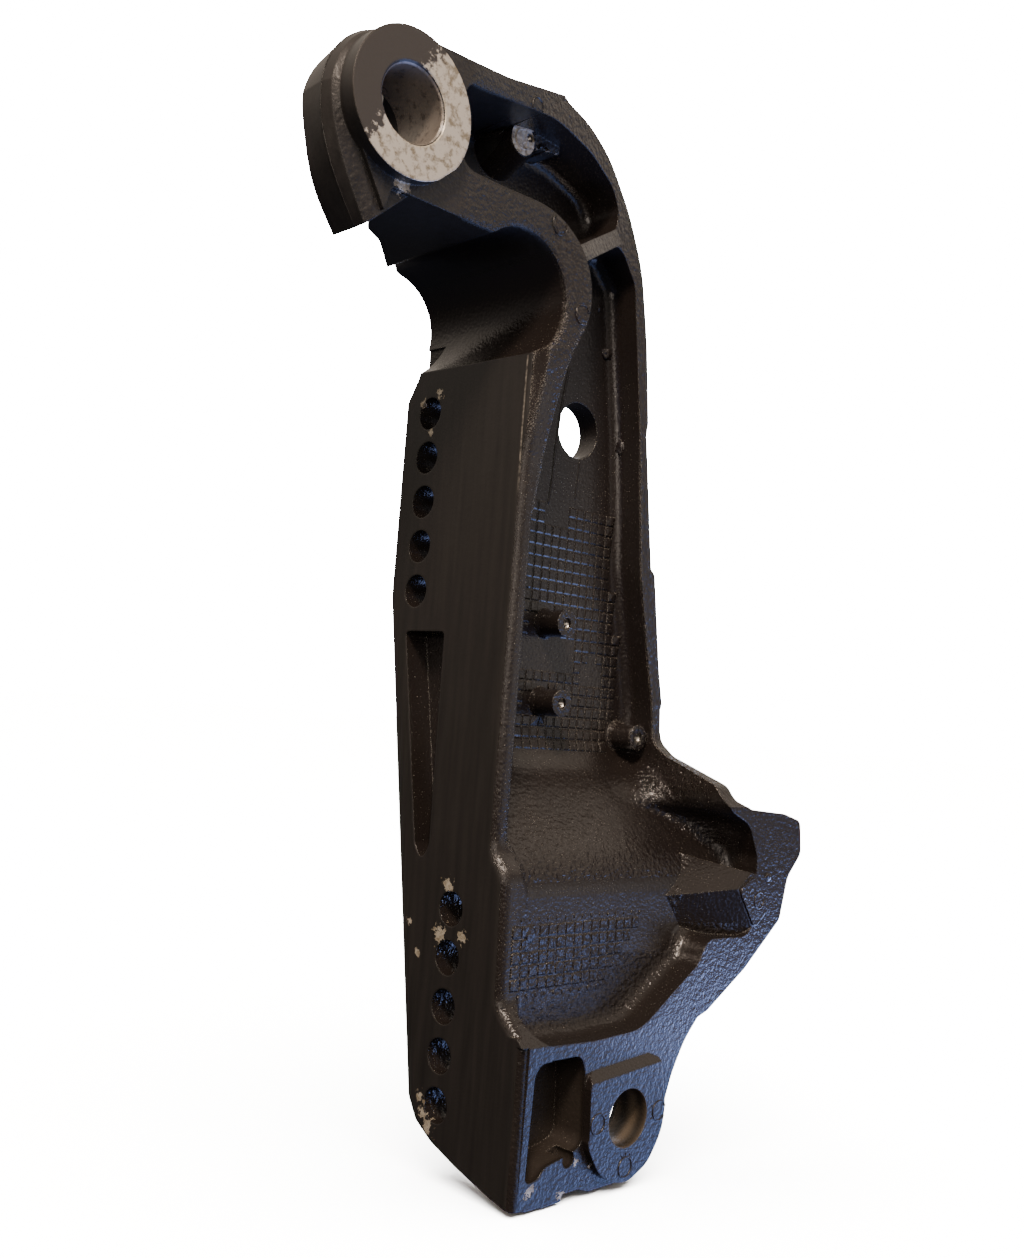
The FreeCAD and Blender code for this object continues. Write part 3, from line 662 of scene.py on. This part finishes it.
def makeGrids(material):
    facts = gridFacts
    pitch = facts["pitch"]
    rng = random.Random(7)
    made = 0
    upper = bmesh.new()
    firstX, firstZ = facts["upperFirst"]
    for row in range(facts["upperRows"]):
        z = firstZ - pitch * (row + 0.5)
        level = facts["upperY"] - max(0.0, facts["rampZ"] - z) * facts["rampSlope"]
        for column in range(facts["upperColumns"]):
            x = firstX + pitch * (column + 0.5)
            if hasBlock(row, x, z):
                made += tile(upper, x, z, level, facts["upperReach"], rng)
    addPiece("webGrid", upper, material)

    lower = bmesh.new()
    firstX, firstZ = facts["lowerFirst"]
    padLeft, padRight = facts["padX"]
    for row in range(facts["lowerRows"]):
        z = firstZ - pitch * (row + 0.5)
        right = facts["lowerRight"] - (firstZ - z) * facts["lowerDraw"]
        for column in range(*facts["lowerColumns"]):
            x = firstX + pitch * (column + 0.5)
            onPad = row < 2 and padLeft < x < padRight
            if x + pitch / 2 <= right and not onPad:
                made += tile(lower, x, z, facts["lowerY"], facts["lowerReach"], rng)
    last = firstZ - pitch * facts["lowerRows"]
    for column in range(facts["ribs"]):
        x = firstX + pitch * column
        for edge, (end, start, stop) in ((firstZ, facts["ribsAbove"]), (last, facts["ribsBelow"])):
            if x < end:
                beadOnFace(lower, [(x, edge + start), (x, edge + stop)], *facts["ribBead"])
    addPiece("lowerGrid", lower, material)
    print("grids made,", made, "blocks")


# screw threads: crests on the walls of the tapped holes
threadFacts = {
    # X and Z, Y of the mouth, and depth, mm
    "holes": (((60.0, -45.6), -32.5, 12.0), ((60.5, -80.4), -32.5, 13.0), ((113.0, -93.2), -32.5, 14.0)),
    "wallR": 2.5,       # mm, CAD hole
    "crestR": 2.12,
    "pitch": 1.0,       # mm, coarse thread for a 6 mm screw
    "sink": 0.05,       # mm, roots inside the wall
    "fadedSink": 0.04,  # mm, and the crests where they have run out
    "lead": 0.35,       # mm, from the mouth to the first root
    "tail": 1.2,        # mm of the depth without thread
    "fade": 0.7,        # turns over which it runs out
}


def threadMesh(shape, x, z, mouth, depth, wallR, crestR, pitch, perTurn):
    # helix of crests, its roots just inside the wall, running out at both ends
    facts = threadFacts
    turns = int((depth - facts["tail"]) / pitch)
    count = turns * perTurn
    fading = perTurn * facts["fade"]
    flat = wallR + facts["fadedSink"]
    roots, crests = [], []
    for i in range(count + perTurn + 1):
        angle = 2 * math.pi * i / perTurn
        y = mouth + facts["lead"] + pitch * i / perTurn
        fade = min(1.0, i / fading, max(0.0, (count - i)) / fading)
        crest = flat - (flat - crestR) * fade
        for rows, r, along in ((roots, wallR + facts["sink"], 0.0), (crests, crest, pitch / 2)):
            point = Vector((x + r * math.cos(angle), y + along, z + r * math.sin(angle)))
            rows.append(shape.verts.new(point * mm))
    for i in range(count):
        shape.faces.new((roots[i], roots[i + 1], crests[i + 1], crests[i]))
        shape.faces.new((crests[i], crests[i + 1], roots[i + 1 + perTurn], roots[i + perTurn]))


def makeThreads(material):
    facts = threadFacts
    port = portFacts
    shape = bmesh.new()
    for (x, z), mouth, depth in facts["holes"]:
        threadMesh(shape, x, z, mouth, depth, facts["wallR"], facts["crestR"], facts["pitch"], perTurn=28)
    threadMesh(shape, *port["hole"], port["faceY"], port["holeDepth"], port["holeR"], port["crestR"],
               port["pitch"], perTurn=20)
    loose = [v for v in shape.verts if not v.link_faces]
    bmesh.ops.delete(shape, geom=loose, context="VERTS")
    addPiece("tappedThreads", shape, material, smooth=50)
    print("threads made")


# marks that the mould leaves: rings and pads of its pins, creases, ribs and the parting line, all in mm
markFacts = {
    # X and Z, radius, and whether its ribs go towards the pin bore or straight up
    "rings": (((41.5, -241.8), 3.9, "bore"), ((78.6, -242.3), 3.9, "bore"), ((59.6, -261.4), 3.9, "up")),
    "ringBead": (0.9, 0.4),        # width and height, as for each bead here
    "ribTurns": (-0.5, 0.0, 0.5),  # radians, short ribs beside the rings
    "ribLength": 2.4,
    "ribBead": (0.8, 0.35),
    "lugRing": ((143.5, -161.1), 3.6),
    "lugBead": (0.8, 0.35),
    "pinDiscs": (((3.7, 107.0), 4.0), ((20.6, 75.3), 4.0), ((-3.3, 155.2), 4.0)),
    "discBead": (0.7, 0.45),
    "discPad": (0.2, 0.22),        # how much smaller than its burr, and rise
    "ovalPad": ((15.4, -170.6), 2.4, 4.0, -0.35, 0.5),  # X and Z, half sizes, lean in radians, rise
    "portDome": ((20.6, 151.4), 3.4, 3.4, 0.0, 1.4),
    "portRimR": 4.1,
    "portRimPoints": 40,
    "portRimPart": (9, 37),        # points of the rim that are clear of the hole
    "portBead": (0.9, 0.5),
    "crease": ((63.4, 72.0), (61.0, 58.0), (59.5, 48.0), (58.2, 32.0), (57.6, 18.5), (56.3, 7.0)),
    "creaseBead": (1.5, 0.45),
    "faintCrease": ((74.6, 31.0), (73.8, 21.0), (73.3, 12.0)),
    "faintBead": (1.2, 0.3),
    "pocketRibX": (20.5, 28.5),
    "pocketRibZ": (-227.0, -232.0, -238.0, -244.0),
    "pocketBead": (1.0, 0.4),
    "partingY": -57.5,             # parting line round the nose of the head
    "partingFrom": 92.0,           # degrees, and how far round it goes
    "partingSweep": 176.0,
    "partingPoints": 60,
    "partingLook": 60.0,           # from the head's axis to outside it
    "partingBead": (0.7, 0.14),
}


def circle(centre, r, count=32):
    turns = [2 * math.pi * k / count for k in range(count)]
    return [(centre[0] + r * math.cos(a), centre[1] + r * math.sin(a)) for a in turns]


def roundPad(shape, centre, across, high, turn, rise, count=28):
    # low round or oval pad laid on the inboard side
    rows = []
    for share, lift in ((1.0, -0.15), (0.9, rise * 0.8), (0.55, rise)):
        row = []
        for k in range(count):
            a = 2 * math.pi * k / count
            u, v = across * share * math.cos(a), high * share * math.sin(a)
            x = centre[0] + u * math.cos(turn) - v * math.sin(turn)
            z = centre[1] + u * math.sin(turn) + v * math.cos(turn)
            hit, normal = onFace(x, z)
            row.append(shape.verts.new(hit + normal * (lift * mm)))
        rows.append(row)
    for low, upper in zip(rows, rows[1:]):
        for k in range(count):
            shape.faces.new((low[k], low[(k + 1) % count], upper[(k + 1) % count], upper[k]))
    hit, normal = onFace(*centre)
    top = shape.verts.new(hit + normal * (rise * mm))
    for k in range(count):
        shape.faces.new((rows[-1][k], rows[-1][(k + 1) % count], top))


def makeMarks(material):
    facts = markFacts
    rings = bmesh.new()
    boreX, boreZ = pinFacts["centre"]
    for (x, z), r, way in facts["rings"]:
        beadOnFace(rings, circle((x, z), r), *facts["ringBead"], closed=True)
        ahead = math.atan2(boreZ - z, boreX - x) if way == "bore" else math.pi / 2
        for turn in facts["ribTurns"]:
            a = ahead + turn
            ends = [(x + far * math.cos(a), z + far * math.sin(a)) for far in (r, r + facts["ribLength"])]
            beadOnFace(rings, ends, *facts["ribBead"])
    beadOnFace(rings, circle(*facts["lugRing"]), *facts["lugBead"], closed=True)
    addPiece("pinRings", rings, material, smooth=60)

    # plain round pads where the pins pushed, with a sharp burr round each
    discs = bmesh.new()
    less, rise = facts["discPad"]
    for centre, r in facts["pinDiscs"]:
        beadOnFace(discs, circle(centre, r), *facts["discBead"], closed=True)
        roundPad(discs, centre, r - less, r - less, 0.0, rise)
    roundPad(discs, *facts["ovalPad"])
    # rim of the grease port's face, and the smooth blind dome beside it
    rim = circle(portFacts["centre"], facts["portRimR"], facts["portRimPoints"])
    start, stop = facts["portRimPart"]
    beadOnFace(discs, rim[start:stop], *facts["portBead"])
    roundPad(discs, *facts["portDome"])
    addPiece("pinDiscs", discs, material, smooth=60)

    # creases of the web, and short ribs in the lower pocket
    seams = bmesh.new()
    beadOnFace(seams, facts["crease"], *facts["creaseBead"])
    beadOnFace(seams, facts["faintCrease"], *facts["faintBead"])
    for z in facts["pocketRibZ"]:
        beadOnFace(seams, [(x, z) for x in facts["pocketRibX"]], *facts["pocketBead"])
    addPiece("castSeams", seams, material, smooth=60)

    # parting line round the nose
    nose = bmesh.new()
    headX, headZ = headFacts["centre"]
    centre = Vector((headX, facts["partingY"], headZ))
    points, normals = [], []
    count = facts["partingPoints"]
    for k in range(count):
        a = math.radians(facts["partingFrom"] + facts["partingSweep"] * k / (count - 1))
        out = Vector((math.cos(a), 0, math.sin(a)))
        hit, normal, _, _ = surface.ray_cast((centre + out * facts["partingLook"]) * mm, -out)
        if hit:
            points.append(hit)
            normals.append(normal)
    bead(nose, points, normals, *facts["partingBead"])
    addPiece("partingLine", nose, material, smooth=60)
    print("mould marks made")


# rough lumps of metal left by the casting
lumpFacts = (
    # X, Z, across, high and rise in mm, and seed
    (87.0, 83.0, 3.4, 2.6, 1.1, 3),
    (150.2, -151.0, 2.2, 2.0, 0.8, 5),
    (80.5, 103.0, 2.0, 1.4, 0.5, 9),
    (97.5, 41.0, 2.4, 3.6, 0.8, 11),
)


def makeLumps(material):
    shape = bmesh.new()
    for x, z, across, high, rise, seed in lumpFacts:
        hit, normal = onFace(x, z)
        turn = normal.to_track_quat("Z", "Y").to_matrix()
        ball = bmesh.ops.create_icosphere(shape, subdivisions=4, radius=1.0)["verts"]
        for v in ball:
            d = v.co.normalized()
            rough = 1 + 0.35 * noise.fractal(d * 1.7 + Vector((seed, 0, 0)), 0.8, 2.1, 4)
            sized = Vector((d.x * across * rough * mm, d.y * high * rough * mm, d.z * rise * rough * mm))
            v.co = hit + turn @ sized
    addPiece("castLumps", shape, material, smooth=80)
    print("lumps made")


# broad hollow where the ramp meets the rear wall, wider than the plain fillet
scoopFacts = {
    "top": -101.0,         # Z, mm
    "foot": -141.0,
    "radius": 25.0,        # mm, at its middle
    "ends": 6.3,           # mm, where it runs into the plain fillet
    "fullness": 0.8,       # power of the sine between them
    "lift": 0.12,          # mm off the casting
    "startX": 90.0,        # mm, on the ramp, from where the wall is looked for
    "limitX": 142.0,       # mm, no wall beyond this
    "turn": (-2.0, 92.0),  # degrees, from the floor up the wall
    "rows": 40,
    "across": 14,
}


def makeScoop(material):
    facts = scoopFacts
    shape = bmesh.new()
    rows = []
    across = facts["across"]
    first, last = facts["turn"]
    for i in range(facts["rows"] + 1):
        share = i / facts["rows"]
        z = facts["top"] + (facts["foot"] - facts["top"]) * share
        bulge = math.sin(math.pi * share) ** facts["fullness"]
        radius = facts["ends"] + (facts["radius"] - facts["ends"]) * bulge
        floor, _ = onFace(facts["startX"], z)
        level = floor.y / mm - radius
        wall, _, _, _ = surface.ray_cast(Vector((facts["startX"], level, z)) * mm, Vector((1, 0, 0)))
        if wall is None or wall.x / mm > facts["limitX"]:
            continue
        centreX = wall.x / mm - radius
        floor, _ = onFace(centreX, z)
        if floor is None:
            continue
        centreY = floor.y / mm - radius
        far = radius + facts["lift"]
        row = []
        for k in range(across + 1):
            a = math.radians(first + (last - first) * k / across)
            point = Vector((centreX + far * math.sin(a), centreY + far * math.cos(a), z))
            row.append(shape.verts.new(point * mm))
        rows.append(row)
    for one, two in zip(rows, rows[1:]):
        for k in range(across):
            shape.faces.new((one[k], one[k + 1], two[k + 1], two[k]))
    addPiece("rearWallScoop", shape, material, smooth=60)
    print("scoop made,", len(rows), "rows")


makeGrids(finePaint)
makeScoop(paint)
makeThreads(threadMetal())
makeMarks(finePaint)
makeLumps(finePaint)

# plain pale floor and soft studio light
studioFacts = {
    "floor": "#f4f3f1",
    "floorZ": -270.6,        # mm, just under the casting's lowest edge
    "floorSize": 30.0,       # m
    "floorSun": 60.0,        # lights the floor alone
    "sunSpread": 80.0,       # degrees
    "sunTilt": (8.0, -6.0),  # degrees about X and Y
    # name, place, target and size in metres, power in watts, and tint
    "lamps": (
        ("warmKey", (-0.75, -0.75, 1.1), (0, 0, 0), (0.3, 0.3), 24.0, "#ffe9d6"),
        ("coolRim", (0.9, 0.9, 0.5), (0, 0, 0), (0.6, 0.6), 2.5, "#dfe8ff"),
        ("weakFill", (-0.52, -0.46, 0.02), (0, -0.03, -0.02), (0.25, 0.25), 0.9, "#fff0e2"),
    ),
    # blue glowing sheets on the floor: X limits and Y limits in metres, power in watts
    "sheets": (((0.22, 0.62), (-0.40, -0.25), 0.28), ((0.22, 0.60), (-0.25, -0.02), 1.15)),
    "sheetTint": "#acbfff",
    "sheetRise": 0.001,      # m above the floor
    "frontGlow": 2.9,        # strength of the room's inboard and aft side
    "aftGlow": 0.58,         # it is dimmer towards aft
    "backGlow": 2.4,         # strength of the rest of the room
    "patchGlow": 2.9,        # strength of the blue patch low on the aft side
    "patchTint": "#9ab4ff",
    "seenGlow": 40.0,        # the white that is seen directly
    # the way to each of those places, and the cosines where it starts and is full
    "frontPlace": ((0.72, -0.69, 0.0), 0.58, 0.92),
    "aftPlace": ((0.90, -0.43, 0.0), 0.945, 0.975),
    "patchPlace": ((0.746, -0.249, -0.617), 0.88, 0.95),
    # the room from straight down to straight up: sine of the height angle, and colour
    "front": ((-1.0, "#101114"), (-0.47, "#16191f"), (-0.38, "#7894d8"), (-0.27, "#8ba6e6"),
              (-0.21, "#5e5b5a"), (-0.12, "#736b65"), (-0.06, "#867e77"), (0.0, "#a59e97"), (0.09, "#aaa5a0"),
              (0.20, "#6c6763"), (0.34, "#544e49"), (0.6, "#9a8f82"), (1.0, "#c4b8aa")),
    "back": ((-1.0, "#20222a"), (-0.3, "#1e1e21"), (-0.12, "#2d2a29"), (0.0, "#3f3b38"), (0.12, "#4f4a46"),
             (0.25, "#5d5753"), (0.45, "#8f867c"), (0.74, "#9d9388"), (1.0, "#5f5850")),
}


def makeFloor():
    # matt paint: pale, with no reflections
    facts = studioFacts
    bpy.ops.mesh.primitive_plane_add(size=facts["floorSize"], location=(0, 0, facts["floorZ"] * mm))
    floor = bpy.context.object
    floor.name = "floor"
    material, tree = newMaterial("matPaintedFloor")
    shader = addNode(tree, "ShaderNodeBsdfPrincipled", {
        "Base Color": colour(facts["floor"]), "Roughness": 0.9})
    addNode(tree, "ShaderNodeOutputMaterial", {"Surface": shader})
    floor.data.materials.append(material)
    # it neither tints nor shades the casting
    floor.visible_diffuse = False
    floor.visible_glossy = False
    floor.visible_shadow = False
    return floor


def softBox(name, place, target, size, power, tint):
    light = bpy.data.lights.new(name, "AREA")
    light.shape = "RECTANGLE"
    light.size, light.size_y = size
    light.energy = power
    light.color = colour(tint)[:3]
    lamp = bpy.data.objects.new(name, light)
    bpy.context.scene.collection.objects.link(lamp)
    lamp.location = place
    lamp.rotation_euler = (Vector(target) - Vector(place)).to_track_quat("-Z", "Y").to_euler()
    lamp.visible_camera = False


def makeRoom():
    # seen directly the room is white; in the paint it is dim and warm above, and pale blue low in front
    facts = studioFacts
    world = bpy.data.worlds.new("paleRoom")
    world.use_nodes = True
    tree = world.node_tree
    tree.nodes.clear()
    way = addNode(tree, "ShaderNodeTexCoord").outputs["Generated"]
    axes = addNode(tree, "ShaderNodeSeparateXYZ", {0: way})
    height = addNode(tree, "ShaderNodeMath", {0: axes.outputs["Z"], 1: 0.5, 2: 0.5}, operation="MULTIPLY_ADD")
    sides = []
    for stops in (facts["front"], facts["back"]):
        ramp = addNode(tree, "ShaderNodeValToRGB", {0: height})
        for sine, tint in stops[1:-1]:
            ramp.color_ramp.elements.new((sine + 1) / 2).color = colour(tint)
        ramp.color_ramp.elements[0].color = colour(stops[0][1])
        ramp.color_ramp.elements[-1].color = colour(stops[-1][1])
        sides.append(ramp)

    # masks of the room's places
    masks = []
    for (toward, start, full), low, high, curve in (
            (facts["frontPlace"], 0.0, 1.0, "SMOOTHSTEP"),
            (facts["aftPlace"], facts["frontGlow"], facts["aftGlow"], "LINEAR"),
            (facts["patchPlace"], 0.0, facts["patchGlow"], "SMOOTHSTEP")):
        along = addNode(tree, "ShaderNodeVectorMath", {0: way, 1: toward}, operation="DOT_PRODUCT")
        masks.append(addNode(tree, "ShaderNodeMapRange", {
            "Value": along.outputs["Value"], "From Min": start, "From Max": full,
            "To Min": low, "To Max": high}, interpolation_type=curve))
    inFront, frontGlow, patchGlow = masks

    front = addNode(tree, "ShaderNodeBackground", {"Color": sides[0], "Strength": frontGlow})
    back = addNode(tree, "ShaderNodeBackground", {"Color": sides[1], "Strength": facts["backGlow"]})
    room = addNode(tree, "ShaderNodeMixShader", {0: inFront, 1: back, 2: front})
    patch = addNode(tree, "ShaderNodeBackground", {
        "Color": colour(facts["patchTint"]), "Strength": patchGlow})
    room = addNode(tree, "ShaderNodeAddShader", {0: room, 1: patch})
    seen = addNode(tree, "ShaderNodeBackground", {"Color": (1, 1, 1, 1), "Strength": facts["seenGlow"]})
    ray = addNode(tree, "ShaderNodeLightPath")
    mix = addNode(tree, "ShaderNodeMixShader", {0: ray.outputs["Is Camera Ray"], 1: room, 2: seen})
    addNode(tree, "ShaderNodeOutputWorld", {"Surface": mix})
    bpy.context.scene.world = world


def makeStudio():
    facts = studioFacts
    lit = bpy.data.collections.new("litFloor")
    lit.objects.link(makeFloor())
    sun = bpy.data.lights.new("floorSun", "SUN")
    sun.energy = facts["floorSun"]
    sun.angle = math.radians(facts["sunSpread"])
    floorSun = bpy.data.objects.new("floorSun", sun)
    floorSun.rotation_euler = (*(math.radians(a) for a in facts["sunTilt"]), 0)
    bpy.context.scene.collection.objects.link(floorSun)
    floorSun.light_linking.receiver_collection = lit
    for lamp in facts["lamps"]:
        softBox(*lamp)
    low = facts["floorZ"] * mm + facts["sheetRise"]
    for (xa, xb), (ya, yb), power in facts["sheets"]:
        middle = ((xa + xb) / 2, (ya + yb) / 2)
        softBox("blueSheet", (*middle, low), (*middle, 1.0), (xb - xa, yb - ya), power, facts["sheetTint"])
    makeRoom()


makeStudio()
print("studio made")
